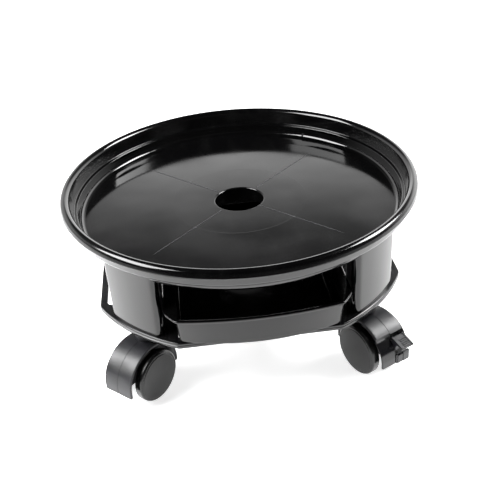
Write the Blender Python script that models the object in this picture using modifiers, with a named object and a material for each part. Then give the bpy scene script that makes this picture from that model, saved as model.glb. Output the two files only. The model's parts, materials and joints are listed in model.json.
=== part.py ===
"""Round plant pot caddy: a dish on four curved legs, a base, a water drawer and four twin-wheel casters.

Metres, +Z up. The origin is on the floor under the middle of the dish, and the drawer opens towards -Y.
"""
from math import acos, atan2, cos, degrees, pi, radians, sin, sqrt

import bmesh
import bpy
from mathutils import Matrix, Vector

GAP = 0.0003                     # air between pieces that rest on each other
MERGE = 0.000001                 # points closer than this are one point

# Driving dimensions
RIM_RADIUS = 0.175               # outside of the dish's rolled rim
RIM_LEVEL = 0.1558               # middle of the rolled rim above the floor
BEAD_RADIUS = 0.0052             # section of the rolled rim
FLOOR_TOP = 0.133                # dish floor
FLOOR_THICKNESS = 0.003
BAND_BOTTOM = 0.143              # lower edge of the band round the outside of the dish
WALL_RADIUS = 0.1606             # dish wall under the band
HOLE_RADIUS = 0.024              # hole in the middle of the dish
COLLAR_BOTTOM = 0.1195
DISH_STEPS = 48

LEG_RADIUS = 0.1598              # outside of the curved legs
LEG_SIDE = 0.0862                # half width of each opening between two legs
LEG_CORNER = 0.005               # rounding of a leg's upright edges
LEG_RETURN = 0.108               # where a leg's turned-in sides end
LEG_THICKNESS = 0.0026

BASE_TOP = 0.074
BASE_THICKNESS = 0.006
PLATE_THICKNESS = 0.003
BASE_RADIUS = 0.1628
BASE_FLAT = 0.1453               # distance from the middle to the four flat edges
SKIRT = 0.0024                   # walls round the underside of the base
GAP_LENGTH = 0.146               # the four long gaps inside the flat edges
GAP_INNER = 0.102
GAP_OUTER = 0.1384
GAP_CORNER = 0.005
CENTRE_HOLE = 0.050

DRAWER_BOTTOM = BASE_TOP + 0.0004
DRAWER_TOP = 0.103
DRAWER_HALF_WIDTH = 0.0722
DRAWER_CORNER_Y = -0.1435        # front corners at the bottom
DRAWER_FRONT_Y = -0.1562         # middle of the curved front at the bottom
DRAWER_BACK_Y = 0.096
DRAWER_WALL = 0.0022
DRAWER_CORNER = 0.014            # rounding of the back corners, seen from above
SIDE_DRAFT = 0.0012              # how far the drawer widens, from its bottom to its top
CORNER_DRAFT = 0.0075
FRONT_DRAFT = 0.0024
BACK_DRAFT = 0.002
FLANGE_HALF_WIDTH = 0.0835
FLANGE_BACK = 0.007              # width of the flange at the back
FLANGE_SLANT = 0.011             # length of its slanting front ends
FLANGE_THICKNESS = 0.0022
GUIDE_INNER = 0.0742             # ribs on the base that steer the drawer
GUIDE_THICKNESS = 0.0022
GUIDE_HALF_LENGTH = 0.096
GUIDE_HEIGHT = 0.005

STEM_PLACE = 0.104               # x and y of each caster's stem
STEM_RADIUS = 0.004
STEM_BORE = 0.0041
SOCKET_RADIUS = 0.008
SOCKET_BOTTOM = 0.062
SOCKET_TOP = 0.088
TRAIL = 0.012                    # wheel axle behind the stem
WHEEL_RADIUS = 0.025
WHEEL_OUTER = 0.0228             # outside face of a wheel from the caster's middle plane
WHEEL_INNER = 0.0136
WHEEL_HUB = 0.0057
WHEEL_SIDES = 20
AXLE_RADIUS = 0.0025
AXLE_BORE = 0.00262
AXLE_HALF_LENGTH = 0.0175
HOOD_HALF_LENGTH = 0.0333
HOOD_HEIGHT = 0.031              # hood's crown above the axle
HOOD_SKIRT = 0.006               # hood's lower edge below the axle
HOOD_HALF_WIDTH = 0.0159
HOOD_WALL = 0.0025
WEB_HALF_WIDTH = 0.005
NECK_RADIUS = 0.010
NECK_TOP = 0.0615
PIVOT = (0.022, 0.012)           # brake pivot behind and above the axle
PIVOT_RADIUS = 0.0015
PIVOT_BORE = 0.0016
LEVER_INNER = 0.001              # the brake's pedal, from the middle plane outwards
LEVER_OUTER = 0.0150
LEVER_HUB = (0.0060, 0.0125)

SCREW_PLACE = (0.0926, 0.116)    # one screw in each leg, and its mirror image about the leg's middle
COLUMN_RADIUS = 0.0048
PILOT_DEPTH = 0.014
SCREW_RADIUS = 0.0016
SCREW_LENGTH = 0.0155            # from under the head to the tip
SCREW_POINT = 0.0025
SCREW_HEAD_RADIUS = 0.0036
SCREW_HEAD_HEIGHT = 0.0024
SCREW_BORE = 0.0018
COUNTERBORE_RADIUS = 0.0041
COUNTERBORE_TOP = 0.071

QUARTERS = {"front_left": 180, "front_right": 270, "back_right": 0, "back_left": 90}
TRAIL_HEADING = {"front_left": 228.6, "front_right": 297.0, "back_right": 30.0, "back_left": 140.0}
BRAKED = ("front_right", "back_left")


def collection(name):
    group = bpy.data.collections.new(name)
    bpy.context.scene.collection.children.link(group)
    return group


def material(name, colour, roughness, metallic=0.0):
    finish = bpy.data.materials.new(name)
    finish.use_nodes = True
    shader = finish.node_tree.nodes["Principled BSDF"]
    shader.inputs["Base Color"].default_value = (*colour, 1.0)
    shader.inputs["Roughness"].default_value = roughness
    shader.inputs["Metallic"].default_value = metallic
    finish.diffuse_color = (*colour, 1.0)
    return finish


def part(name, mesh, finish, place=Matrix()):
    """A piece of the caddy, shaded smooth except at its sharp edges."""
    piece = bpy.data.objects.new(name, mesh)
    PARTS.objects.link(piece)
    piece.matrix_world = place
    mesh.materials.append(finish)
    mesh.shade_smooth()
    mesh.set_sharp_from_angle(angle=radians(35))
    return piece


def cut_or_join(piece, operation, meshes):
    """Cut the meshes out of a piece, or join them to it, in the piece's own axes."""
    tool = bpy.data.objects.new(piece.name + "_" + operation.lower(), gathered(meshes))
    TOOLS.objects.link(tool)
    tool.parent = piece
    tool.hide_render = True
    tool.display_type = "WIRE"
    boolean = piece.modifiers.new(operation.title(), "BOOLEAN")
    boolean.operation = operation
    boolean.solver = "EXACT"
    boolean.object = tool


def finished(work):
    mesh = bpy.data.meshes.new("shape")
    bmesh.ops.remove_doubles(work, verts=work.verts, dist=MERGE)
    bmesh.ops.recalc_face_normals(work, faces=work.faces)
    work.to_mesh(mesh)
    work.free()
    return mesh


def gathered(meshes):
    work = bmesh.new()
    for mesh in meshes:
        work.from_mesh(mesh)
    mesh = bpy.data.meshes.new("tools")
    work.to_mesh(mesh)
    work.free()
    return mesh


def placed(mesh, matrix):
    mesh.transform(matrix)
    return mesh


def box(low, high):
    work = bmesh.new()
    size = Vector(high) - Vector(low)
    middle = (Vector(high) + Vector(low)) / 2
    matrix = Matrix.Translation(middle) @ Matrix.Diagonal((*size, 1))
    bmesh.ops.create_cube(work, size=1, matrix=matrix)
    return finished(work)


def drum(radius, low, high, sides, x=0.0, y=0.0):
    """An upright cylinder between two heights."""
    work = bmesh.new()
    matrix = Matrix.Translation((x, y, (low + high) / 2))
    bmesh.ops.create_cone(work, cap_ends=True, segments=sides, radius1=radius, radius2=radius,
                          depth=high - low, matrix=matrix)
    return finished(work)


def plate(outlines, low, high):
    """Flat outlines, with the inner ones as holes, made solid between two heights."""
    curve = bpy.data.curves.new("outline", "CURVE")
    curve.dimensions = "2D"
    curve.fill_mode = "BOTH"
    curve.extrude = (high - low) / 2
    for outline in outlines:
        spline = curve.splines.new("POLY")
        spline.points.add(len(outline) - 1)
        for point, (x, y) in zip(spline.points, outline):
            point.co = (x, y, 0, 1)
        spline.use_cyclic_u = True
    guide = bpy.data.objects.new("outline", curve)
    TOOLS.objects.link(guide)
    graph = bpy.context.evaluated_depsgraph_get()
    flat = bpy.data.meshes.new_from_object(guide.evaluated_get(graph))
    bpy.data.objects.remove(guide)
    work = bmesh.new()
    work.from_mesh(flat)
    bmesh.ops.translate(work, verts=work.verts, vec=(0, 0, (low + high) / 2))
    return finished(work)


def turned(profile, steps, closed):
    """A profile of (radius, height) points turned about Z, as a mesh."""
    count = len(profile)
    edges = [(i, i + 1) for i in range(count - 1)]
    if closed:
        edges.append((count - 1, 0))
    line = bpy.data.meshes.new("profile")
    line.from_pydata([(radius, 0, height) for radius, height in profile], edges, [])
    lathe = bpy.data.objects.new("lathe", line)
    TOOLS.objects.link(lathe)
    screw = lathe.modifiers.new("Turn", "SCREW")
    screw.axis = "Z"
    screw.steps = steps
    screw.render_steps = steps
    screw.use_merge_vertices = True
    screw.merge_threshold = MERGE
    graph = bpy.context.evaluated_depsgraph_get()
    mesh = bpy.data.meshes.new_from_object(lathe.evaluated_get(graph))
    bpy.data.objects.remove(lathe)
    work = bmesh.new()
    work.from_mesh(mesh)
    return finished(work)


def arc(x, y, radius, start, end, pieces):
    """Points of an arc, from one angle in degrees to another."""
    turn = [radians(start + (end - start) * i / pieces) for i in range(pieces + 1)]
    return [(x + radius * cos(a), y + radius * sin(a)) for a in turn]


def circle(x, y, radius, sides):
    """A ring of points, started off the axes so that no side of one hole lines up with another's."""
    return arc(x, y, radius, 7, 367, sides)[:-1]


def rounded_box(x_low, y_low, x_high, y_high, corner):
    places = ((x_high, y_high, 0), (x_low, y_high, 90), (x_low, y_low, 180), (x_high, y_low, 270))
    points = []
    for x, y, start in places:
        inward_x = -corner if x == x_high else corner
        inward_y = -corner if y == y_high else corner
        points += arc(x + inward_x, y + inward_y, corner, start, start + 90, 3)
    return points


def quarter_turned(points, turn):
    swing = radians(turn)
    return [(x * cos(swing) - y * sin(swing), x * sin(swing) + y * cos(swing)) for x, y in points]


# Dish and legs

def dish_profile():
    """Section of the dish, clockwise from the top of its rim, with the hole at the inner end."""
    bead = arc(RIM_RADIUS - BEAD_RADIUS, RIM_LEVEL, BEAD_RADIUS, 90, -70, 5)
    floor_bottom = FLOOR_TOP - FLOOR_THICKNESS
    band = [(0.1706, 0.1506), (0.1662, BAND_BOTTOM + 0.0008), (0.1654, BAND_BOTTOM)]
    wall = [(0.1616, BAND_BOTTOM - 0.0002), (WALL_RADIUS, BAND_BOTTOM - 0.001),
            (WALL_RADIUS - 0.0002, 0.1326), (WALL_RADIUS - 0.0028, floor_bottom)]
    collar = [(HOLE_RADIUS + 0.0042, floor_bottom), (HOLE_RADIUS + 0.0029, COLLAR_BOTTOM),
              (HOLE_RADIUS + 0.0003, COLLAR_BOTTOM), (HOLE_RADIUS, FLOOR_TOP - 0.0012)]
    inside = [(HOLE_RADIUS + 0.0016, FLOOR_TOP), (0.1540, FLOOR_TOP), (0.1578, 0.1352), (0.1588, 0.1438),
              (0.1597, 0.1447), (0.1628, 0.1449), (0.1637, 0.1458), (0.1652, 0.1545)]
    lip = arc(RIM_RADIUS - BEAD_RADIUS, RIM_LEVEL, BEAD_RADIUS, 165, 120, 1)
    return bead + band + wall + collar + inside + lip


def leg_side(inset):
    """One face of a leg's section, seen from above, in the quarter where x and y are positive."""
    across = LEG_SIDE + LEG_CORNER
    along = sqrt((LEG_RADIUS - LEG_CORNER) ** 2 - across ** 2)
    swing = degrees(atan2(along, across))
    first = [(LEG_SIDE + inset, LEG_RETURN)] + arc(across, along, LEG_CORNER - inset, 180, swing, 4)
    middle = arc(0, 0, LEG_RADIUS - inset, swing, 90 - swing, 4)[1:-1]
    return first + middle + [(y, x) for x, y in reversed(first)]


def make_top_dish():
    dish = part("top_dish", turned(dish_profile(), DISH_STEPS, closed=True), GLOSS_BLACK)
    outline = leg_side(0) + list(reversed(leg_side(LEG_THICKNESS)))
    foot = BASE_TOP + GAP
    head = FLOOR_TOP - FLOOR_THICKNESS / 2
    legs = []
    columns = []
    bores = []
    for turn in QUARTERS.values():
        legs.append(plate([quarter_turned(outline, turn)], foot, head))
        for x, y in quarter_turned([SCREW_PLACE, SCREW_PLACE[::-1]], turn):
            columns.append(drum(COLUMN_RADIUS, foot, head, 10, x, y))
            bores.append(drum(SCREW_BORE, foot - 0.001, foot + PILOT_DEPTH, 10, x, y))
    cut_or_join(dish, "UNION", legs)
    cut_or_join(dish, "UNION", columns)
    cut_or_join(dish, "DIFFERENCE", bores)


# Base

def base_outline(inset):
    """A circle cut by four flats, seen from above."""
    radius = BASE_RADIUS - inset
    start = degrees(acos((BASE_FLAT - inset) / radius))
    return [point for turn in QUARTERS.values()
            for point in quarter_turned(arc(0, 0, radius, start, 90 - start, 6), turn)]


def long_gap(outset):
    half = GAP_LENGTH / 2 + outset
    return rounded_box(-half, GAP_INNER - outset, half, GAP_OUTER + outset, GAP_CORNER + outset)


def make_base_frame():
    bottom = BASE_TOP - BASE_THICKNESS
    outlines = [base_outline(0), circle(0, 0, CENTRE_HOLE, 32)]
    pocket = [base_outline(SKIRT), circle(0, 0, CENTRE_HOLE + SKIRT, 32)]
    sockets = []
    stem_bores = []
    counterbores = []
    for turn in QUARTERS.values():
        outlines.append(quarter_turned(long_gap(0), turn))
        pocket.append(quarter_turned(long_gap(SKIRT / 2), turn))
        [(x, y)] = quarter_turned([(STEM_PLACE, STEM_PLACE)], turn)
        pocket.append(circle(x, y, SOCKET_RADIUS + 0.001, 16))
        sockets.append(drum(SOCKET_RADIUS, SOCKET_BOTTOM, SOCKET_TOP, 16, x, y))
        stem_bores.append(drum(STEM_BORE, SOCKET_BOTTOM - 0.001, SOCKET_TOP - 0.004, 16, x, y))
        for x, y in quarter_turned([SCREW_PLACE, SCREW_PLACE[::-1]], turn):
            outlines.append(circle(x, y, SCREW_BORE, 10))
            pocket.append(circle(x, y, COUNTERBORE_RADIUS + 0.0012, 12))
            counterbores.append(drum(COUNTERBORE_RADIUS, bottom - 0.001, COUNTERBORE_TOP, 12, x, y))
    guides = []
    for side in (-1, 1):
        near, far = sorted((side * GUIDE_INNER, side * (GUIDE_INNER + GUIDE_THICKNESS)))
        guides.append(box((near, -GUIDE_HALF_LENGTH, BASE_TOP - 0.001),
                          (far, GUIDE_HALF_LENGTH, BASE_TOP + GUIDE_HEIGHT)))
    frame = part("base_frame", plate(outlines, bottom, BASE_TOP), SATIN_BLACK)
    cut_or_join(frame, "DIFFERENCE", [plate(pocket, bottom - 0.001, BASE_TOP - PLATE_THICKNESS)])
    cut_or_join(frame, "UNION", sockets + guides)
    cut_or_join(frame, "DIFFERENCE", stem_bores + counterbores)


def make_leg_screws():
    seat = COUNTERBORE_TOP - GAP
    tip = seat + SCREW_LENGTH
    low = seat - SCREW_HEAD_HEIGHT
    profile = [(0, tip), (SCREW_RADIUS * 0.4, tip), (SCREW_RADIUS, tip - SCREW_POINT), (SCREW_RADIUS, seat),
               (SCREW_HEAD_RADIUS, seat), (SCREW_HEAD_RADIUS, low + SCREW_HEAD_HEIGHT / 3),
               (SCREW_HEAD_RADIUS * 0.7, low), (0, low)]
    screw = turned(profile, 10, closed=False)
    for quarter, turn in QUARTERS.items():
        for name, (x, y) in zip("ab", quarter_turned([SCREW_PLACE, SCREW_PLACE[::-1]], turn)):
            part("leg_screw_" + quarter + "_" + name, screw.copy(), STEEL, Matrix.Translation((x, y, 0)))


# Drawer

def front_arc(half_width, corner_y, middle_y, pieces):
    """The drawer's bowed front, from its left corner to its right one."""
    rise = corner_y - middle_y
    radius = (half_width ** 2 + rise ** 2) / (2 * rise)
    sweep = degrees(acos((radius - rise) / radius))
    return arc(0, middle_y + radius, radius, 270 - sweep, 270 + sweep, pieces)


def tub_ring(share, inset, height, flange=(0.0, 0.0)):
    """One level of the drawer, seen from above, with its drafts' share, an inset and a flange's widths."""
    half_width = DRAWER_HALF_WIDTH + SIDE_DRAFT * share - inset
    corner_y = DRAWER_CORNER_Y - CORNER_DRAFT * share + inset
    middle_y = DRAWER_FRONT_Y - FRONT_DRAFT * share + inset
    side, behind = flange
    wide = half_width + side
    back_y = DRAWER_BACK_Y + BACK_DRAFT * share - inset + behind
    back_corner = DRAWER_CORNER - inset + behind
    front = front_arc(half_width, corner_y, middle_y, 8)
    back = arc(wide - back_corner, back_y - back_corner, back_corner, 0, 90, 3)
    right_half = [(wide, corner_y + FLANGE_SLANT)] + back
    left_half = [(-x, y) for x, y in reversed(right_half)]
    return [(x, y, height) for x, y in front + right_half + left_half]


def make_drawer():
    """The drawer is a loft: outside wall, flange, then inside wall, with a bottom under each."""
    flange = (FLANGE_HALF_WIDTH - DRAWER_HALF_WIDTH - SIDE_DRAFT, FLANGE_BACK)
    under = DRAWER_TOP - FLANGE_THICKNESS
    rings = [tub_ring(0, 0, DRAWER_BOTTOM), tub_ring(0.9, 0, under), tub_ring(1, 0, under, flange),
             tub_ring(1, 0, DRAWER_TOP, flange), tub_ring(1, DRAWER_WALL, DRAWER_TOP),
             tub_ring(0, DRAWER_WALL, DRAWER_BOTTOM + DRAWER_WALL)]
    work = bmesh.new()
    loops = [[work.verts.new(point) for point in ring] for ring in rings]
    count = len(loops[0])
    for lower, upper in zip(loops, loops[1:]):
        for i in range(count):
            j = (i + 1) % count
            work.faces.new((lower[i], lower[j], upper[j], upper[i]))
    work.faces.new(list(reversed(loops[0])))
    work.faces.new(loops[-1])
    part("drawer", finished(work), GLOSS_BLACK)


# Casters: the stem is at x = y = 0 and the wheels trail towards +x

SIDEWAYS = Matrix.Rotation(radians(-90), 4, "X")      # turns +Z to +Y
UPRIGHT = Matrix.Rotation(radians(90), 4, "X")        # turns a flat outline's y to z, and its z to -y


def upright_plate(outline, near, far):
    """An outline in the caster's side view, made solid between two y values."""
    return placed(plate([outline], -far, -near), UPRIGHT)


def crossways(mesh, x, z):
    """A mesh turned about Z, laid along the caster's y axis through (x, z)."""
    return placed(mesh, Matrix.Translation((x, 0, z)) @ SIDEWAYS)


def hood_line(inset, drop):
    """The hood's side view from its front edge over the crown to its back edge."""
    half, height = HOOD_HALF_LENGTH - inset, HOOD_HEIGHT - inset
    crown = [(TRAIL + half * cos(radians(180 - 15 * i)), WHEEL_RADIUS + height * sin(radians(15 * i)))
             for i in range(13)]
    return [(TRAIL - half, WHEEL_RADIUS - drop)] + crown + [(TRAIL + half, WHEEL_RADIUS - drop)]


def make_hood(quarter, place):
    shell = hood_line(0, HOOD_SKIRT) + list(reversed(hood_line(HOOD_WALL, HOOD_SKIRT)))
    web = hood_line(HOOD_WALL / 2, HOOD_SKIRT / 2)
    half = HOOD_HALF_WIDTH
    hood = part("caster_hood_" + quarter, upright_plate(shell, -half, half), HOOD_PLASTIC, place)
    cut_or_join(hood, "UNION", [upright_plate(web, -WEB_HALF_WIDTH, WEB_HALF_WIDTH)])
    cut_or_join(hood, "UNION", [drum(NECK_RADIUS, NECK_TOP - 0.016, NECK_TOP, 16)])
    axle_bore = crossways(drum(AXLE_BORE, -half, half, WHEEL_SIDES), TRAIL, WHEEL_RADIUS)
    stem_bore = drum(STEM_BORE, NECK_TOP - 0.024, NECK_TOP + 0.001, 16)
    cut_or_join(hood, "DIFFERENCE", [axle_bore, stem_bore])
    if quarter in BRAKED:
        window = box((TRAIL + 0.018, LEVER_INNER - 0.0005, WHEEL_RADIUS + 0.0045),
                     (TRAIL + 0.040, half + 0.001, WHEEL_RADIUS + 0.0212))
        bore = crossways(drum(PIVOT_BORE, -half, half, 10), TRAIL + PIVOT[0], WHEEL_RADIUS + PIVOT[1])
        cut_or_join(hood, "DIFFERENCE", [window])
        cut_or_join(hood, "DIFFERENCE", [bore])


def wheel_profile():
    """Half section of a wheel: a closed outside face, a tread, and a hollow with a hub inside."""
    tread = WHEEL_RADIUS / cos(pi / WHEEL_SIDES)
    return [(0, WHEEL_OUTER), (tread - 0.0022, WHEEL_OUTER - 0.0009), (tread, WHEEL_OUTER - 0.0028),
            (tread, WHEEL_INNER), (tread - 0.0034, WHEEL_INNER), (tread - 0.0034, WHEEL_OUTER - 0.0034),
            (0.0062, WHEEL_OUTER - 0.0034), (0.0058, WHEEL_HUB), (AXLE_BORE, WHEEL_HUB),
            (AXLE_BORE, WHEEL_OUTER - 0.0043), (0, WHEEL_OUTER - 0.0043)]


def make_wheels(quarter, place):
    """Both wheels, each with its origin on the axle and a flat of its tread on the floor."""
    axle = place @ Matrix.Translation((TRAIL, 0, WHEEL_RADIUS))
    half_step = Matrix.Rotation(pi / WHEEL_SIDES, 4, "Z")
    wheel = placed(turned(wheel_profile(), WHEEL_SIDES, closed=False), SIDEWAYS @ half_step)
    part("left_wheel_" + quarter, wheel, GLOSS_BLACK, axle)
    part("right_wheel_" + quarter, wheel.copy(), GLOSS_BLACK, axle @ Matrix.Rotation(pi, 4, "Z"))


def make_brake(quarter, place):
    """A foot lever that turns down on its pin until its shoe meets the left wheel."""
    behind, above = PIVOT
    pin = drum(PIVOT_RADIUS, -WEB_HALF_WIDTH + 0.001, LEVER_HUB[1] + GAP, 10)
    pivot = place @ Matrix.Translation((TRAIL + behind, 0, WHEEL_RADIUS + above))
    part("brake_pin_" + quarter, placed(pin, SIDEWAYS), STEEL, pivot)
    tab_top = [(0.0007, 0.0076), (0.0167, 0.0030), (0.0164, 0.0008)]
    plate_face = [(0.0092, 0.0025), (0.0076, -0.0010), (0.0077, -0.0046)]
    shoe_face = [(0.0042, -0.0046), (0.0033, -0.0010), (0.0012, 0.0034)]
    pedal = upright_plate(tab_top + plate_face + shoe_face, LEVER_INNER, LEVER_OUTER)
    hub = upright_plate(arc(0, 0, 0.0034, 70, 290, 8) + [(0.0052, -0.0034), (0.0052, 0.0050)], *LEVER_HUB)
    lever = part("brake_lever_" + quarter, pedal, HOOD_PLASTIC, pivot)
    cut_or_join(lever, "UNION", [hub])
    cut_or_join(lever, "DIFFERENCE", [crossways(drum(PIVOT_BORE, 0.005, 0.014, 10), 0, 0)])


def make_caster(quarter, turn):
    [(x, y)] = quarter_turned([(STEM_PLACE, STEM_PLACE)], turn)
    place = Matrix.Translation((x, y, 0)) @ Matrix.Rotation(radians(TRAIL_HEADING[quarter]), 4, "Z")
    stem = drum(STEM_RADIUS, NECK_TOP - 0.0235, SOCKET_TOP - 0.0045, 16)
    part("caster_stem_" + quarter, stem, STEEL, Matrix.Translation((x, y, 0)))
    make_hood(quarter, place)
    axle = placed(drum(AXLE_RADIUS, -AXLE_HALF_LENGTH, AXLE_HALF_LENGTH, WHEEL_SIDES), SIDEWAYS)
    part("wheel_axle_" + quarter, axle, STEEL, place @ Matrix.Translation((TRAIL, 0, WHEEL_RADIUS)))
    make_wheels(quarter, place)
    if quarter in BRAKED:
        make_brake(quarter, place)


for old in list(bpy.data.objects):
    bpy.data.objects.remove(old)

PARTS = collection("plant_pot_caddy")
TOOLS = collection("tools")
GLOSS_BLACK = material("gloss_black_plastic", (0.012, 0.012, 0.013), 0.16)
SATIN_BLACK = material("satin_black_plastic", (0.015, 0.015, 0.016), 0.32)
HOOD_PLASTIC = material("hood_plastic", (0.035, 0.035, 0.038), 0.42)
STEEL = material("zinc_plated_steel", (0.62, 0.62, 0.60), 0.30, 1.0)

make_top_dish()
make_base_frame()
make_leg_screws()
make_drawer()
for quarter_name, quarter_turn in QUARTERS.items():
    make_caster(quarter_name, quarter_turn)
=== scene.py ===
"""Looks of the round plant pot caddy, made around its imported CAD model.

Lengths in outlines and profiles are in millimetres, and MM turns them into metres. A third number
in a point is the length that its round corner cuts off each side. A caster is made with its stem at
x = y = 0 and its wheels trailing towards +x, then put where the joints say.
"""
import json
from functools import partial
from math import acos, atan2, cos, degrees, hypot, pi, radians, sin, sqrt

import bmesh
import bpy
from mathutils import Matrix, Quaternion, Vector


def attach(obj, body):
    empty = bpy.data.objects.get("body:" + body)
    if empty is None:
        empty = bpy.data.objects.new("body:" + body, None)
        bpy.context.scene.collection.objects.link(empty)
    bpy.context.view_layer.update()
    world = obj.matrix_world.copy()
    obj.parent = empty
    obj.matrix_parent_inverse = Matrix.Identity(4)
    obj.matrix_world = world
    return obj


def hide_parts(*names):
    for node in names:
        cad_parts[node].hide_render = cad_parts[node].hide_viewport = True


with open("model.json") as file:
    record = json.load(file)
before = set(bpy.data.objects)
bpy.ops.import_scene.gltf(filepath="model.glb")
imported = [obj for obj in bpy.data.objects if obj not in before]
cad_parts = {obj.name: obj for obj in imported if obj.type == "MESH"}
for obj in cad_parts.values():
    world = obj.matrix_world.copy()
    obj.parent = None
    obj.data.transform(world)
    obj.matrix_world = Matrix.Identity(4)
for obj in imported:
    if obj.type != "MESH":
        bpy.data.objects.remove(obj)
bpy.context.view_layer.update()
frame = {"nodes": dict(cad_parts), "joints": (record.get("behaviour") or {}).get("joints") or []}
JOINTS = {joint["name"]: joint for joint in frame["joints"]}
CORNERS = ("front_left", "front_right", "back_right", "back_left")
BRAKED = [name for name in CORNERS if "brake_pivot_" + name in JOINTS]
QUARTERS = (0, 90, 180, 270)
MM = 0.001

# Sizes of the caddy, in millimetres
RIM_RADIUS = 175.0
RIM_LEVEL = 155.8
BEAD = 5.2
FLOOR_TOP = 133.0
WALL_RADIUS = 160.7
HOLE_RADIUS = 24.0
COLLAR_BOTTOM = 119.5
BAND_BOTTOM = 143.8
LEG_RADIUS = 160.2
LEG_SIDE = 85.2
LEG_THICKNESS = 2.6
BASE_RADIUS = 162.8
BASE_FLAT = 145.3
BASE_TOP = 74.0
BASE_UNDERSIDE = BASE_TOP - 3
BASE_BOTTOM = BASE_TOP - 6
LEG_FOOT = BASE_TOP + 0.3
LEG_INSIDE_TOP = FLOOR_TOP - 1.4
DRAWER_TOP = 103.0
SCREW_PLACE = (92.6, 116.0)
STEM_PLACE = 104.0
STEM_RADIUS = 4.15
TRAIL = 12.0
AXLE_LEVEL = 25.0
HOOD_HALF_WIDTH = 15.9
CROWN_EDGE = 22.2                   # where a braked hood steps in, above the axle


# Mesh making

def arc(x, y, radius, start, end, pieces, height=None):
    """Points of an arc, from one angle in degrees to another. With a height, it is half an ellipse's."""
    turns = [radians(start + (end - start) * i / pieces) for i in range(pieces + 1)]
    return [(x + radius * cos(a), y + (height or radius) * sin(a)) for a in turns]


def corner(before, at, after, cut, steps):
    """A circular round at a corner, which starts a cut's length before it and ends as far after it."""
    before, at, after = Vector(before), Vector(at), Vector(after)
    back, on = (before - at).normalized(), (after - at).normalized()
    start, end = at + back * cut, at + on * cut
    pull = max(0.05, sin(back.angle(on) / 2))
    points = []
    for i in range(steps + 1):
        s = i / steps
        shares = ((1 - s) ** 2, 2 * s * (1 - s) * pull, s ** 2)
        points.append(tuple((start * shares[0] + at * shares[1] + end * shares[2]) / sum(shares)))
    return points


def rounded(outline, steps=4):
    """A closed outline with the round corners that its points ask for."""
    points = []
    for i, (x, y, *cut) in enumerate(outline):
        if cut:
            after = outline[(i + 1) % len(outline)]
            points += corner(outline[i - 1][:2], (x, y), after[:2], cut[0], steps)
        else:
            points.append((x, y))
    return points


def finished(work):
    """A mesh in metres from a bmesh in millimetres, with its faces pointing out."""
    mesh = bpy.data.meshes.new("shape")
    bmesh.ops.remove_doubles(work, verts=work.verts, dist=0.0005)
    bmesh.ops.recalc_face_normals(work, faces=work.faces)
    bmesh.ops.scale(work, vec=(MM, MM, MM), verts=work.verts)
    work.to_mesh(mesh)
    work.free()
    return mesh


def strip(work, lower, upper):
    """Faces between two closed rings of the same number of points."""
    count = len(lower)
    for i in range(count):
        j = (i + 1) % count
        work.faces.new((lower[i], lower[j], upper[j], upper[i]))


def loft(rings):
    """A solid through closed rings of (x, y, z) points, with flat ends."""
    work = bmesh.new()
    loops = [[work.verts.new(point) for point in ring] for ring in rings]
    for lower, upper in zip(loops, loops[1:]):
        strip(work, lower, upper)
    work.faces.new(list(reversed(loops[0])))
    work.faces.new(loops[-1])
    return finished(work)


def turned(profile, steps, closed=True):
    """A profile of (radius, height) points turned about Z. An open one starts and ends on the axis."""
    work = bmesh.new()
    rows = []
    for i in range(steps):
        turn = 2 * pi * i / steps
        rows.append([work.verts.new((r * cos(turn), r * sin(turn), z)) for r, z in profile])
    last = len(profile) if closed else len(profile) - 1
    for i in range(steps):
        row, following = rows[i], rows[(i + 1) % steps]
        for j in range(last):
            k = (j + 1) % len(profile)
            work.faces.new((row[j], row[k], following[k], following[j]))
    return finished(work)


def upright(outline, height):
    return [(x, y, height) for x, y in outline]


def sideways(outline, y):
    return [(x, y, z) for x, z in outline]


def prism(outline_at, low, high, edge, side=upright):
    """A solid between two levels with round edges. outline_at gives its outline, shrunk by a length."""
    rings = []
    for level, inwards in ((low, 1), (high, -1)):
        rounds = [(level + inwards * edge * (1 - cos(t)), edge * (1 - sin(t)))
                  for t in (0, pi / 8, pi / 4, 3 * pi / 8, pi / 2)]
        rings.append([side(outline_at(shrink), place) for place, shrink in rounds])
    return loft(rings[0] + list(reversed(rings[1])))


def walled_plate(walls):
    """A plate with holes. Each wall is a list of rings that runs from the top face to the lower one."""
    work = bmesh.new()
    rims = ([], [])
    for rings in walls:
        loops = [[work.verts.new(point) for point in ring] for ring in rings]
        for upper, lower in zip(loops, loops[1:]):
            strip(work, lower, upper)
        for rim, loop in zip(rims, (loops[0], loops[-1])):
            rim.extend(work.edges.get((loop[i - 1], loop[i])) for i in range(len(loop)))
    for rim in rims:
        bmesh.ops.triangle_fill(work, use_beauty=True, edges=rim)
    return finished(work)


def moved(mesh, matrix):
    mesh.transform(matrix)
    return mesh


def along_y(mesh, x=0.0, z=0.0):
    """A mesh turned about Z, laid so that its +Z is +Y, through (x, z) millimetres."""
    return moved(mesh, Matrix.Translation((x * MM, 0, z * MM)) @ Matrix.Rotation(radians(-90), 4, "X"))


def joined(meshes):
    work = bmesh.new()
    for mesh in meshes:
        work.from_mesh(mesh)
    whole = bpy.data.meshes.new("joined")
    work.to_mesh(whole)
    work.free()
    return whole


def quarter_turned(points, turn):
    """Points in plan, turned about Z by an angle in degrees."""
    swing = radians(turn)
    return [(x * cos(swing) - y * sin(swing), x * sin(swing) + y * cos(swing)) for x, y in points]


def turned_about_z(turn):
    return Matrix.Rotation(radians(turn), 4, "Z")


def shifted(x, y, z=0.0):
    """A move by lengths in millimetres."""
    return Matrix.Translation((x * MM, y * MM, z * MM))


def placed(name, content):
    made = bpy.data.objects.new(name, content)
    bpy.context.scene.collection.objects.link(made)
    return made


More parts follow.
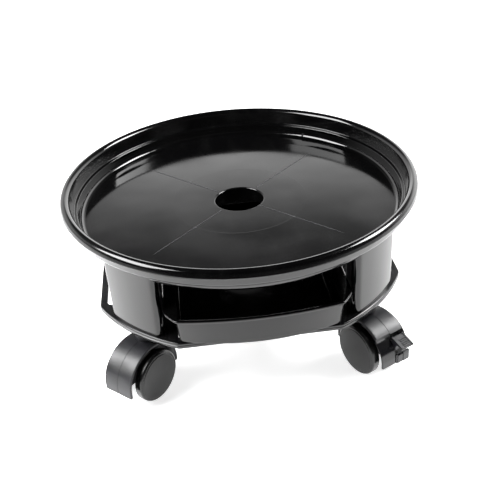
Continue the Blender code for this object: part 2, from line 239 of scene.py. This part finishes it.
def piece(name, mesh, finish, body, stands_for, place=Matrix(), sharp=32):
    """A visible piece of the caddy, riding on its body and standing for its CAD nodes."""
    made = placed(name, mesh)
    made.matrix_world = place
    if not mesh.materials:
        mesh.materials.append(finish)
    mesh.shade_smooth()
    mesh.set_sharp_from_angle(angle=radians(sharp))
    even = made.modifiers.new("Even shading", "WEIGHTED_NORMAL")
    even.keep_sharp = True
    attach(made, body)
    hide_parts(*stands_for)
    return made


# Materials

def blank(name):
    """A new material, with its node tree and its shader."""
    material = bpy.data.materials.new(name)
    material.use_nodes = True
    return material, material.node_tree, material.node_tree.nodes["Principled BSDF"]


def add(tree, kind, settings=(), **inputs):
    node = tree.nodes.new(kind)
    for name, value in dict(settings).items():
        setattr(node, name, value)
    for name, value in inputs.items():
        node.inputs[name.replace("_", " ")].default_value = value
    return node


def noise(tree, scale, detail=3.0, stretch=(1, 1, 1)):
    """Noise in the object's own axes, with so many lumps to the metre."""
    place = add(tree, "ShaderNodeTexCoord")
    mapping = add(tree, "ShaderNodeMapping", Scale=stretch)
    texture = add(tree, "ShaderNodeTexNoise", Scale=scale, Detail=detail)
    tree.links.new(place.outputs["Object"], mapping.inputs["Vector"])
    tree.links.new(mapping.outputs["Vector"], texture.inputs["Vector"])
    return texture.outputs["Fac"]


def ranged(tree, value, low, high, to_low, to_high):
    """A value between two limits, moved to a new range."""
    node = add(tree, "ShaderNodeMapRange", {"interpolation_type": "SMOOTHSTEP"})
    for name, number in zip(("From Min", "From Max", "To Min", "To Max"), (low, high, to_low, to_high)):
        node.inputs[name].default_value = number
    tree.links.new(value, node.inputs["Value"])
    return node.outputs["Result"]


def bumped(tree, height, strength, distance, under=None):
    node = add(tree, "ShaderNodeBump", Strength=strength, Distance=distance)
    tree.links.new(height, node.inputs["Height"])
    if under:
        tree.links.new(under, node.inputs["Normal"])
    return node.outputs["Normal"]


def product(tree, first, second):
    node = add(tree, "ShaderNodeMath", {"operation": "MULTIPLY"})
    tree.links.new(first, node.inputs[0])
    tree.links.new(second, node.inputs[1])
    return node.outputs["Value"]


def tinted(tree, share, dark, light):
    """A colour between a dark and a light one."""
    node = add(tree, "ShaderNodeMix", {"data_type": "RGBA"})
    ends = {"A": (*dark, 1), "B": (*light, 1)}
    for socket in node.inputs:
        if socket.type == "RGBA":
            socket.default_value = ends[socket.name]
    tree.links.new(share, node.inputs["Factor"])
    return next(socket for socket in node.outputs if socket.type == "RGBA")


def plastic(name, dark, light, roughness, clouds, grain, grain_depth, wave_depth, ior=1.46):
    """Moulded plastic: cloudy gloss, faint colour changes, slow waves in the surface and a fine grain.

    Clouds and grain are in lumps to the metre, and the two depths in millimetres.
    """
    material, tree, shader = blank(name)
    shader.inputs["IOR"].default_value = ior
    cloud = noise(tree, clouds, 4)
    fine = noise(tree, grain, 2)
    scuff = noise(tree, 60, 6, stretch=(1, 0.25, 1))
    rough = ranged(tree, cloud, 0.3, 0.7, *roughness)
    dust = ranged(tree, scuff, 0.45, 0.8, 0, 1)
    tree.links.new(rough, shader.inputs["Roughness"])
    tree.links.new(tinted(tree, dust, dark, light), shader.inputs["Base Color"])
    waves = bumped(tree, noise(tree, 22, 1), 1.0, wave_depth * MM)
    tree.links.new(bumped(tree, fine, 1.0, grain_depth * MM, waves), shader.inputs["Normal"])
    return material


def zinc(name):
    """Zinc-plated steel, drawn lengthways, with a faint yellow cast."""
    material, tree, shader = blank(name)
    shader.inputs["Metallic"].default_value = 1.0
    drawn = noise(tree, 900, 3, stretch=(1, 1, 0.08))
    tree.links.new(ranged(tree, drawn, 0.3, 0.7, 0.24, 0.40), shader.inputs["Roughness"])
    patches = ranged(tree, noise(tree, 120, 3), 0.35, 0.65, 0, 1)
    colour = tinted(tree, patches, (0.52, 0.52, 0.50), (0.68, 0.67, 0.62))
    tree.links.new(colour, shader.inputs["Base Color"])
    tree.links.new(bumped(tree, drawn, 1.0, 0.004 * MM), shader.inputs["Normal"])
    return material


# Dish and legs

def dish_profile():
    """Section of the dish, clockwise from the top of its rolled rim."""
    bead_middle = RIM_RADIUS - BEAD
    under = FLOOR_TOP - 2.8
    mark = FLOOR_TOP + 0.05
    bead = arc(bead_middle - 0.7, RIM_LEVEL, BEAD, 90, 18, 9) + [(RIM_RADIUS, RIM_LEVEL - 1.2, 0.6)]
    band = [(171.9, 152.3, 0.4), (169.8, BAND_BOTTOM, 2.6), (161.4, BAND_BOTTOM, 0.5)]
    wall = [(WALL_RADIUS, under, 9.0), (HOLE_RADIUS + 4.2, under, 1.6)]
    collar = [(HOLE_RADIUS + 2.8, COLLAR_BOTTOM, 0.7), (HOLE_RADIUS + 0.2, COLLAR_BOTTOM, 0.6),
              (HOLE_RADIUS, FLOOR_TOP, 1.3)]
    ring = [(66.6, FLOOR_TOP), (66.8, mark), (67.3, mark), (67.5, FLOOR_TOP)]
    inside = [(158.0, FLOOR_TOP, 4.6), (159.4, 144.8, 0.8), (162.7, 145.0, 0.8)]
    lip = arc(bead_middle, RIM_LEVEL, BEAD, 170, 98, 8)
    return rounded(bead + band + wall + collar + ring + inside + lip)


def flow_line(turn):
    """A faint raised line on the dish floor, from the hole outwards, where the moulding's flows met."""
    stations = [(26.2, 0.12, 0.03), (28.0, 0.5, 0.3), (110.0, 0.45, 0.26), (124.0, 0.10, 0.02)]
    rings = []
    for radius, half, height in stations:
        section = [(-half, -0.3), (half, -0.3)] + arc(0, 0, half, 0, 180, 6, height)
        rings.append([(radius, y, FLOOR_TOP + z) for y, z in section])
    return moved(loft(rings), turned_about_z(turn))


def pin_mark(turn):
    """A small round mark left on the dish floor by an ejector pin."""
    mark = turned([(0, 0.32), (0.8, 0.28), (1.2, 0.0), (1.2, -0.3), (0, -0.3)], 20, closed=False)
    return moved(mark, turned_about_z(turn) @ shifted(67, 0, FLOOR_TOP))


def leg_wall(shrink, draft):
    """Plan of a leg's curved wall and its two round edges, where x and y are positive."""
    radius = LEG_RADIUS + draft - shrink
    side = LEG_SIDE + shrink
    inner = LEG_RADIUS - LEG_THICKNESS + shrink
    edge_y = sqrt(radius ** 2 - side ** 2)
    swing = degrees(atan2(edge_y, side))
    half = [(side, edge_y - 11.0), (side, edge_y, 9.0)]
    outer = arc(0, 0, radius, swing, 90 - swing, 20)[3:-3]
    inner_swing = degrees(acos((side + LEG_THICKNESS - 2 * shrink) / inner))
    back = arc(0, 0, inner, 90 - inner_swing, inner_swing, 20)
    return rounded(half + outer + [(y, x, *cut) for x, y, *cut in reversed(half)], 7) + back


def pushed_out(points, least):
    """Points moved away from the axis where they are nearer to it than the least radius."""
    grown = [(x, y, max(1.0, least / hypot(x, y))) for x, y in points]
    return [(x * grow, y * grow) for x, y, grow in grown]


def leg_side_plate(shrink, flip):
    """Plan of the flat wall inside one edge of a leg. Flipped, it is at the leg's other edge."""
    near, far = LEG_SIDE + 0.02 + shrink, LEG_SIDE + LEG_THICKNESS - shrink
    start, end = 107.8 + shrink, 126.0 - shrink
    plan = [(near, start, 0.4), (far, start, 0.4), (far, end, 0.4), (near, end, 0.4)]
    return rounded([(y, x, cut) for x, y, cut in plan] if flip else plan)


def leg_shell():
    """A leg's wall from its foot up, which thins out against the dish above the dish's floor."""
    levels = [(LEG_FOOT, 0.35, 0), (LEG_FOOT + 0.1, 0.12, 0), (LEG_FOOT + 0.35, 0, 0),
              (LEG_INSIDE_TOP, 0, 0.5)]
    rings = [upright(leg_wall(shrink, draft), level) for level, shrink, draft in levels]
    for level, least in ((134.0, 156.8), (138.0, 158.6), (140.0, 159.9), (143.6, 159.9)):
        rings.append(upright(pushed_out(leg_wall(0, 0.6), least), level))
    return loft(rings)


def leg_inside():
    """The two side plates and the two screw columns inside a leg."""
    shapes = []
    for flip in (False, True):
        shapes.append(prism(partial(leg_side_plate, flip=flip), LEG_FOOT, LEG_INSIDE_TOP, 0.3))
    column = [(1.8, LEG_FOOT), (4.4, LEG_FOOT), (4.8, LEG_FOOT + 0.4),
              (4.9, LEG_INSIDE_TOP), (1.8, LEG_INSIDE_TOP)]
    for x, y in (SCREW_PLACE, SCREW_PLACE[::-1]):
        shapes.append(moved(turned(column, 28), shifted(x, y)))
    return joined(shapes)


def make_leg(name, turn, finish, inner_finish):
    place = turned_about_z(turn)
    piece("leg_" + name, leg_shell(), finish, "caddy", ["top_dish"], place)
    piece("leg_inside_" + name, leg_inside(), inner_finish, "caddy", ["top_dish"], place)


def make_dish(finish, inner_finish, mark_finish):
    lines = [flow_line(45 + turn) for turn in QUARTERS]
    marks = [pin_mark(45 + turn) for turn in QUARTERS]
    piece("dish", turned(dish_profile(), 192), finish, "caddy", ["top_dish"])
    piece("flow_marks", joined(lines + marks), mark_finish, "caddy", ["top_dish"])
    for name, turn in zip(CORNERS, (180, 270, 0, 90)):
        make_leg(name, turn, finish, inner_finish)


# Base

def base_outline(inset):
    """A circle cut by four flats, with its corners a little rounded."""
    radius = BASE_RADIUS - inset
    start = degrees(acos((BASE_FLAT - inset) / radius))
    quarter = arc(0, 0, radius, start, 90 - start, 14)
    quarter[0] = (*quarter[0], 2.2)
    quarter[-1] = (*quarter[-1], 2.2)
    whole = []
    for turn in QUARTERS:
        turned_points = quarter_turned([point[:2] for point in quarter], turn)
        whole += [(*new, *old[2:]) for new, old in zip(turned_points, quarter)]
    return rounded(whole)


def gap_outline(grow, turn):
    half, near, far = 73 + grow, 102 - grow, 138.4 + grow
    cut = 5 + grow
    corners = [(half, near, cut), (half, far, cut), (-half, far, cut), (-half, near, cut)]
    return quarter_turned(rounded(corners, 6), turn)


def base_plate():
    """The plate with its grooved edge, its four gaps and its round hole, which all have a skirt below."""
    top, bottom, under = BASE_TOP, BASE_BOTTOM, BASE_UNDERSIDE
    outside = [(1.2, top), (0.6, top - 0.12), (0.18, top - 0.5), (0, top - 1.1), (0, top - 2.3),
               (0.35, top - 2.6), (0.35, top - 2.8), (0, top - 3.1), (0, bottom + 0.9),
               (0.25, bottom + 0.3), (0.8, bottom), (1.9, bottom), (2.4, bottom + 0.4), (2.5, under)]
    hole = [(1.1, top), (0.5, top - 0.12), (0.15, top - 0.45), (0, top - 1.0), (0, bottom + 1.2),
            (0.4, bottom + 0.8), (1.0, bottom + 0.8), (1.3, bottom + 1.2), (1.4, under)]
    walls = [[upright(base_outline(inset), z) for inset, z in outside]]
    for turn in QUARTERS:
        walls.append([upright(gap_outline(grow, turn), z) for grow, z in hole])
    walls.append([upright(arc(0, 0, 50 + grow, 0, 360, 72)[:-1], z) for grow, z in hole])
    return walled_plate(walls)


def stem_socket():
    inner, low, high = STEM_RADIUS, 62, 88
    profile = [(inner, low), (7.4, low, 0.6), (8.2, 72.5, 0.5), (8.2, 73.2), (8.0, high, 0.8), (inner, high)]
    return turned(rounded(profile), 40)


def screw_boss():
    start, low = BASE_UNDERSIDE + 0.2, BASE_BOTTOM
    profile = [(4.1, start), (4.1, low + 0.4), (4.4, low + 0.1), (5.2, low + 0.1), (5.5, low + 0.4),
               (5.6, start)]
    return turned(profile, 28)


def guide_plan(shrink, side):
    """Plan of a rib that steers the drawer."""
    near, far, end = 74.2 + shrink, 76.4 - shrink, 96 - shrink
    plan = [(near, -end, 0.8), (far, -end, 0.8), (far, end, 0.8), (near, end, 0.8)]
    return rounded([(side * x, y, cut) for x, y, cut in plan])


def make_base(finish):
    shapes = [base_plate()]
    for turn in QUARTERS:
        [(x, y)] = quarter_turned([(STEM_PLACE, STEM_PLACE)], turn)
        shapes.append(moved(stem_socket(), shifted(x, y)))
        for x, y in quarter_turned([SCREW_PLACE, SCREW_PLACE[::-1]], turn):
            shapes.append(moved(screw_boss(), shifted(x, y)))
    for side in (-1, 1):
        shapes.append(prism(partial(guide_plan, side=side), BASE_TOP - 0.8, BASE_TOP + 5, 0.5))
    piece("base", joined(shapes), finish, "caddy", ["base_frame"])


# Drawer

def tub_plan(height, grow, shoulder=0.0):
    """The drawer's outline, grown by a length, at a level from 0 at its bottom to 1 at its top.

    A shoulder widens the sides and back of it, and leaves its bowed front.
    """
    half = 72.2 + 1.2 * height + grow
    corner_y = -143.5 - 7.5 * height - grow
    middle_y = -156.2 - 2.4 * height - grow
    back_y = 96.0 + 4 * height + grow + 0.4 * shoulder
    rise = corner_y - middle_y
    radius = (half ** 2 + rise ** 2) / (2 * rise)
    sweep = degrees(acos((radius - rise) / radius))
    front = arc(0, middle_y + radius, radius, 270 - sweep, 270 + sweep, 30)
    round_front = max(0.6, 2.4 + grow)
    wide = half + shoulder
    front[0] = (*front[0], round_front)
    front[-1] = (*front[-1], round_front)
    right = [(wide, corner_y + 11 + 0.3 * shoulder, 2.0 + 0.3 * shoulder), (wide, back_y, 14 + grow)]
    return rounded(front + right + [(-x, y, cut) for x, y, cut in reversed(right)])


def make_drawer(finish):
    """The tray, ringed up its outside, round its flange and down its inside."""
    wall, flange = 2.2, 9.55
    bottom, top = BASE_TOP + 0.4, DRAWER_TOP
    under, inside = top - 2.2, bottom + wall
    rings = [(0, -1.6, 0, bottom), (0, -0.7, 0, bottom + 0.15), (0, -0.2, 0, bottom + 0.6),
             (0, 0, 0, bottom + 1.4), (0.97, 0, 0, under - 0.9), (0.97, 0.25, 0.4, under - 0.3),
             (1, 0.3, 1.1, under), (1, 0.3, flange - 0.7, under), (1, 0.5, flange - 0.15, under + 0.25),
             (1, 0.55, flange, under + 0.8), (1, 0.55, flange, top - 0.8),
             (1, 0.3, flange - 0.2, top - 0.25), (1, -0.2, flange - 0.7, top), (1, 0.7 - wall, 0, top),
             (1, 0.15 - wall, 0, top - 0.2), (1, -wall, 0, top - 0.8), (0, -wall, 0, inside + 0.5),
             (0, -0.15 - wall, 0, inside + 0.15), (0, -0.5 - wall, 0, inside)]
    tub = loft([upright(tub_plan(level, grow, shoulder), z) for level, grow, shoulder, z in rings])
    piece("water_drawer", tub, finish, "drawer", ["drawer"], sharp=40)


# Casters

def hood_arc(half, height, start, end, lows):
    """Part of an ellipse about the axle, in side view, with upright ends down to the low levels."""
    crown = arc(TRAIL, AXLE_LEVEL, half, start, end, 44, height)
    front = [(TRAIL - half, AXLE_LEVEL + lows[0])] if lows[0] is not None else []
    back = [(TRAIL + half, AXLE_LEVEL + lows[1])] if lows[1] is not None else []
    return front + crown + back


def hood_section(shrink, start=180, end=0, lows=(-6, -6), recess=0.0):
    """A closed section of the hood's curved wall. A recess sets its trailing side in."""
    lows = [low + shrink if low is not None else None for low in lows]
    outer = hood_arc(33.3 - shrink, 31.0 - shrink, start, end, lows)
    inner = hood_arc(30.8 + shrink, 28.5 + shrink, start, end, lows)
    if recess:
        outer = [recessed(point, recess) for point in outer]
        inner = [recessed(point, 0.8 * recess) for point in inner]
    return outer + inner[::-1]


def recessed(point, depth):
    """A point of a braked hood's wall moved in, below its crown and most of all just below it."""
    x, z = point[0] - TRAIL, point[1] - AXLE_LEVEL
    share = 0 if x < 0 else min(1.0, max(0.0, (CROWN_EDGE - z) / 0.8))
    scale = 1 - share * depth * (0.6 + 0.9 * max(0.0, z) / CROWN_EDGE) / hypot(x, z)
    return (TRAIL + x * scale, point[1] if z < 0 else AXLE_LEVEL + z * scale)


def hood_band(near, far, **section):
    """A piece of the hood between two y values. An end at the hood's side gets a round edge."""
    edge = [(0, 0.85), (0.14, 0.42), (0.45, 0.12), (0.95, 0)]
    left = [(near + y, shrink) for y, shrink in edge] if near == -HOOD_HALF_WIDTH else [(near, 0)]
    right = [(far - y, shrink) for y, shrink in reversed(edge)] if far == HOOD_HALF_WIDTH else [(far, 0)]
    if near < 0 < far:
        left += [(-0.42, 0), (-0.2, 0.3), (0.2, 0.3), (0.42, 0)]
    return loft([sideways(hood_section(shrink, **section), y) for y, shrink in left + right])


def braked_shell():
    """The braked hood's wall, cut away round the lever and set in below the crown."""
    half = HOOD_HALF_WIDTH
    bands = [hood_band(-half, 0.3, recess=2.9), hood_band(0.5, half, end=47, lows=(-6, None))]
    bands += [hood_band(0.25, 2.1, start=6.5, lows=(None, -6), recess=1.4),
              hood_band(8.2, half, start=7.5, lows=(None, -6))]
    bands.append(hood_band(2.0, 8.3, start=4.6, lows=(None, -6), recess=0.6))
    return joined(bands)


def hood_web():
    """The hood's middle wall, the neck round its stem and the bush round its axle."""
    def plan(shrink):
        return hood_arc(31.6 - shrink, 29.4 - shrink, 180, 0, (-4 + shrink, -4 + shrink))
    inner = STEM_RADIUS
    neck = rounded([(inner, 61.5), (10, 61.5, 0.8), (10, 50.5, 2.0), (12.5, 46.0), (inner, 46.0)])
    bush = rounded([(2.65, -5.4), (5.0, -5.4, 0.4), (5.0, 5.4, 0.4), (2.65, 5.4)])
    web = prism(plan, -5, 5, 0.4, sideways)
    return [web, turned(neck, 48), along_y(turned(bush, 32), TRAIL, AXLE_LEVEL)]


def braked_web():
    """The middle wall of a braked hood, which stops short of the lever's window."""
    def plan(shrink):
        low, back, front = 21 + shrink, TRAIL + 17.6 - shrink, TRAIL - 31.6 + shrink
        crown = arc(TRAIL, AXLE_LEVEL, 31.6 - shrink, 51, 180, 30, 29.4 - shrink)
        return [(back, low), (back, AXLE_LEVEL + 23 - shrink)] + crown + [(front, low)]
    return prism(plan, -5, 5, 0.4, sideways)


def polish_and_paint_shade_in_recess(mesh, finish, polish_and_painted_shade):
    """A smoother finish on a braked hood's wall below its crown, where the rest of it has a fine texture.
    Its darker colour there is painted shade under the crown.
    """
    mesh.materials.append(finish)
    mesh.materials.append(polish_and_painted_shade)
    # Faces on the trailing side below the crown get the smoother finish, whose darker colour is painted
    # shade.
    for face in mesh.polygons:
        if face.center.x > (TRAIL + 16) * MM and face.center.z < (AXLE_LEVEL + CROWN_EDGE - 0.4) * MM:
            face.material_index = 1


def make_hood(name, place, finish, polish_and_painted_shade):
    web = hood_web()
    if name in BRAKED:
        whole = joined([braked_shell(), braked_web()] + web[1:])
        polish_and_paint_shade_in_recess(whole, finish, polish_and_painted_shade)
    else:
        whole = joined([hood_band(-HOOD_HALF_WIDTH, HOOD_HALF_WIDTH)] + web)
    node = "caster_hood_" + name
    piece("hood_" + name, whole, finish, "caster_" + name, [node], place)


def lever_side(shrink, inset=0.0):
    """The brake lever's side view about its pivot: a tab, a shoe below it and a heel."""
    s = shrink
    tip = 3.0 - 0.7 * s - inset
    top = [(0.9 + s, 7.4 - s - inset, 1.4), (16.6 - s, tip, 0.5), (16.4 - s, 1.0 + s, 0.4)]
    under = [(9.4 - s, 2.4 + s, 1.2), (7.7 - s, -0.9, 0.8), (7.6 - s, -4.5 + s, 0.5)]
    heel = [(4.3 + s, -4.5 + s, 0.5), (3.4 + s, -1.0, 0.8), (1.4 + s, 3.3, 0.8)]
    return rounded(top + under + heel)


def make_lever(name, finish):
    """The brake's foot lever: two cheeks with a ribbed pad between them."""
    joint = JOINTS["brake_pivot_" + name]
    heading = atan2(-joint["axis"][0], joint["axis"][1])
    shapes = [prism(partial(lever_side, inset=0.9), 1.6, 14.4, 0.1, sideways)]
    for low, high in ((1.0, 2.5), (13.5, 15.0)):
        shapes.append(prism(lever_side, low, high, 0.35, sideways))
    for i in range(5):
        x = 6.8 + 2.05 * i
        z = 6.5 - 0.28 * (x - 0.9) + 0.2
        bar = arc(x, z, 0.65, 0, 360, 12)[:-1]
        shapes.append(loft([sideways(bar, 5.5), sideways(bar, 13.7)]))
    shapes.append(along_y(turned([(1.62, 6.0), (3.3, 6.0), (3.3, 12.4), (1.62, 12.4)], 32)))
    place = Matrix.Translation(joint["pos_m"]) @ Matrix.Rotation(heading, 4, "Z")
    node = "brake_lever_" + name
    piece("lever_" + name, joined(shapes), finish, "brake_" + name, [node], place)


def wheel_profile():
    """A wheel's half section: a crowned disc, a groove, a round-edged tread and a hollow with a hub."""
    face = [(0, 22.8), (7, 22.74), (14, 22.55), (20.2, 22.2), (21.6, 22.05, 0.4), (22.0, 21.45, 0.3),
            (22.8, 21.45, 0.3), (23.3, 21.8, 0.35)]
    tread = [(24.98, 20.6, 0.9), (25.0, 13.7, 0.7), (21.6, 13.7, 0.5)]
    hollow = [(21.3, 19.4, 1.0), (6.3, 19.4, 1.0), (5.8, 5.75, 0.4), (2.65, 5.75), (2.65, 18.5),
              (0, 18.5)]
    return rounded(face + tread + hollow, 5)


def make_wheels(name, place, finish):
    axle = place @ shifted(TRAIL, 0, AXLE_LEVEL)
    wheel = along_y(turned(wheel_profile(), 96, closed=False))
    for side, turn in (("left", 0), ("right", pi)):
        node = side + "_wheel_" + name
        spot = axle @ Matrix.Rotation(turn, 4, "Z")
        piece("wheel_" + side + "_" + name, wheel.copy(), finish, node, [node], spot)


def make_caster(name, hood_finish, polish_and_painted_shade, wheel_finish):
    swivel = JOINTS["caster_swivel_" + name]
    axis = JOINTS["left_wheel_spin_" + name]["axis"]
    heading = atan2(-axis[0], axis[1])
    x, y, _ = swivel["pos_m"]
    place = Matrix.Translation((x, y, 0)) @ Matrix.Rotation(heading, 4, "Z")
    make_hood(name, place, hood_finish, polish_and_painted_shade)
    make_wheels(name, place, wheel_finish)
    if name in BRAKED:
        make_lever(name, hood_finish)


def give_steel(finish):
    """The stems, axles, brake pins and leg screws keep their CAD shapes and get a plated finish."""
    for node in frame["nodes"]:
        if node.startswith(("caster_stem", "wheel_axle", "brake_pin", "leg_screw")):
            bpy.data.objects[node].material_slots[0].material = finish


# Setting

def make_floor():
    reach = 12
    corners = [(-reach, -reach, 0), (reach, -reach, 0), (reach, reach, 0), (-reach, reach, 0)]
    mesh = bpy.data.meshes.new("floor")
    mesh.from_pydata(corners, [], [(0, 1, 2, 3)])
    floor = placed("floor", mesh)
    material, tree, shader = blank("pale_floor")
    shader.inputs["Roughness"].default_value = 0.7
    shader.inputs["Specular IOR Level"].default_value = 0.1
    shader.inputs["Emission Color"].default_value = (1, 1, 1, 1)
    shader.inputs["Emission Strength"].default_value = 0.75
    patches = ranged(tree, noise(tree, 3, 3), 0.3, 0.7, 0, 1)
    colour = tinted(tree, patches, (0.86, 0.86, 0.86), (0.89, 0.89, 0.89))
    tree.links.new(colour, shader.inputs["Base Color"])
    mesh.materials.append(material)


def make_backdrop():
    """A pale wall far round the floor, for low views, which the caddy doesn't mirror."""
    radius, height, steps = 11.8, 7.0, 96
    turns = [2 * pi * i / steps for i in range(steps)]
    corners = [(radius * cos(turn), radius * sin(turn), z) for z in (0, height) for turn in turns]
    faces = [(i, (i + 1) % steps, (i + 1) % steps + steps, i + steps) for i in range(steps)]
    mesh = bpy.data.meshes.new("backdrop")
    mesh.from_pydata(corners, [], faces)
    wall = placed("backdrop", mesh)
    wall.visible_glossy = False
    wall.visible_diffuse = False
    wall.visible_shadow = False
    material, _, shader = blank("pale_wall")
    shader.inputs["Base Color"].default_value = (0.8, 0.8, 0.8, 1)
    shader.inputs["Emission Color"].default_value = (1, 1, 1, 1)
    shader.inputs["Emission Strength"].default_value = 0.8
    mesh.materials.append(material)


def pointed(thing, place, aim, roll=0.0):
    """A lamp or camera put in its place and turned to look at its aim."""
    thing.location = place
    thing.rotation_mode = "QUATERNION"
    level = (Vector(aim) - Vector(place)).to_track_quat("-Z", "Y")
    thing.rotation_quaternion = level @ Quaternion((0, 0, 1), radians(roll))


def soft_box(name, place, size, power):
    """A wide soft light beside the caddy, which the gloss mirrors."""
    light = bpy.data.lights.new(name, "AREA")
    light.shape = "RECTANGLE"
    light.size, light.size_y = size
    light.energy = power
    lamp = placed(name, light)
    pointed(lamp, place, (0, 0, 0.1))
    lamp.visible_camera = False


def pool_light(name, place, aim, power):
    """A round pool of soft light on the floor beside the caddy. The gloss mirrors the pool, not the lamp."""
    light = bpy.data.lights.new(name, "SPOT")
    light.spot_size = radians(26)
    light.spot_blend = 0.35
    light.shadow_soft_size = 0.16
    light.energy = power
    lamp = placed(name, light)
    pointed(lamp, place, aim)
    lamp.visible_glossy = False


def make_world():
    """A backdrop that is bright low behind the caddy and fades upwards, in an otherwise dark studio."""
    world = bpy.data.worlds.new("studio")
    bpy.context.scene.world = world
    world.use_nodes = True
    tree = world.node_tree
    tree.nodes.clear()
    direction = add(tree, "ShaderNodeTexCoord")
    split = add(tree, "ShaderNodeSeparateXYZ")
    tree.links.new(direction.outputs["Generated"], split.inputs["Vector"])
    low = ranged(tree, split.outputs["Z"], 0.36, 0.53, 3.2, 0.22)
    high = ranged(tree, split.outputs["Z"], 0.53, 0.75, 1, 0.1)
    behind = ranged(tree, split.outputs["Y"], -0.1, 0.6, 0.03, 1)
    aside = ranged(tree, split.outputs["X"], -0.22, 0.0, 0.45, 1)
    strength = product(tree, product(tree, low, high), product(tree, behind, aside))
    backdrop = add(tree, "ShaderNodeBackground")
    backdrop.inputs["Color"].default_value = (1, 1, 1, 1)
    tree.links.new(strength, backdrop.inputs["Strength"])
    result = add(tree, "ShaderNodeOutputWorld")
    tree.links.new(backdrop.outputs["Background"], result.inputs["Surface"])


def make_camera():
    data = bpy.data.cameras.new("camera")
    data.lens = 58.0
    data.sensor_width = 36
    camera = placed("camera", data)
    pointed(camera, (-0.05086, -0.68255, 0.50176), (-0.00237, 0, 0.08463), roll=-4.308)
    bpy.context.scene.camera = camera


def make_lights():
    soft_box("left_box", (-1.15, -0.15, 1.15), (1.0, 0.8), 55)
    soft_box("right_box", (1.15, 0.15, 1.15), (0.7, 0.55), 45)
    pool_light("left_pool", (-0.70, 0.25, 1.30), (-0.40, 0.0, 0), 165)
    pool_light("right_pool", (0.70, 0.25, 1.30), (0.40, 0.02, 0), 50)
    bpy.context.scene.view_settings.view_transform = "Standard"


gloss_black = plastic(
    "gloss_black", dark=(0.0012, 0.0012, 0.0013), light=(0.003, 0.003, 0.003), roughness=(0.06, 0.16),
    clouds=14, grain=1500, grain_depth=0.004, wave_depth=0.11)
drawer_black = plastic(
    "drawer_black", dark=(0.0012, 0.0012, 0.0013), light=(0.003, 0.003, 0.003), roughness=(0.08, 0.16),
    clouds=14, grain=1500, grain_depth=0.004, wave_depth=0.05, ior=1.38)
inner_black = plastic(
    "inner_black", dark=(0.001, 0.001, 0.001), light=(0.002, 0.002, 0.002), roughness=(0.4, 0.5),
    clouds=20, grain=1800, grain_depth=0.01, wave_depth=0.03, ior=1.25)
flow_grey = plastic(
    "flow_grey", dark=(0.022, 0.022, 0.024), light=(0.034, 0.034, 0.036), roughness=(0.3, 0.4),
    clouds=60, grain=1500, grain_depth=0.01, wave_depth=0.02)
base_black = plastic(
    "base_black", dark=(0.002, 0.002, 0.0024), light=(0.006, 0.006, 0.006), roughness=(0.14, 0.24),
    clouds=20, grain=1800, grain_depth=0.012, wave_depth=0.05)
hood_grey = plastic(
    "hood_grey", dark=(0.006, 0.006, 0.008), light=(0.013, 0.013, 0.013), roughness=(0.36, 0.46),
    clouds=60, grain=1500, grain_depth=0.06, wave_depth=0.03)
# The recess finish is smoother than the hood's, and it is darker in colour. The darker colour is painted
# shade under a braked hood's crown.
hood_polish_and_painted_shade = plastic(
    "hood_polish_and_painted_shade", dark=(0.003, 0.003, 0.004), light=(0.008, 0.008, 0.008), roughness=(0.12, 0.2),
    clouds=60, grain=2600, grain_depth=0.01, wave_depth=0.03)
wheel_black = plastic(
    "wheel_black", dark=(0.003, 0.003, 0.003), light=(0.006, 0.006, 0.006), roughness=(0.16, 0.26),
    clouds=60, grain=2400, grain_depth=0.012, wave_depth=0.02, ior=1.4)
steel_finish = zinc("zinc_steel")

make_camera()
make_dish(gloss_black, inner_black, flow_grey)
make_base(base_black)
make_drawer(drawer_black)
for corner_name in CORNERS:
    make_caster(corner_name, hood_grey, hood_polish_and_painted_shade, wheel_black)
give_steel(steel_finish)
make_floor()
make_backdrop()
make_lights()
make_world()
